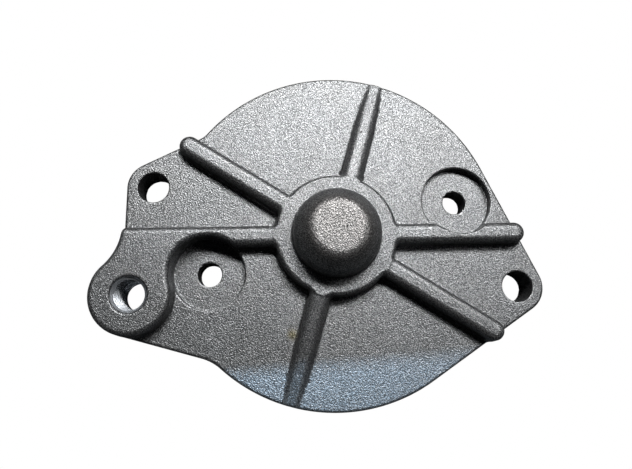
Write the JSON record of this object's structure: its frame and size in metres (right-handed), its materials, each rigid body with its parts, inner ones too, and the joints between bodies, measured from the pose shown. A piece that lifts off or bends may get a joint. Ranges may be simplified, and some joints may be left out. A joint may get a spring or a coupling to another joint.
{
  "type": "motor end shield",
  "caption": "Cast motor end shield: round plate with mounting ears, radial ribs, a closed bearing dome, spot-faced through-bolt holes and a raised pad with a tapped hole.",
  "frame": {"origin": "centre of the round plate on its flat mating face, at the mouth of the bearing bore", "axes": "+X through both ear holes towards the ear without the pad, +Z out of the ribbed outer face along the bearing axis"},
  "size_m": [0.1271, 0.1, 0.0255],
  "materials": {
    "cast_body": "shot-blasted as cast, machined spot faces and tapped hole"
  },
  "bodies": {
    "root": {"end_shield": "cast_body"}
  },
  "joints": []
}
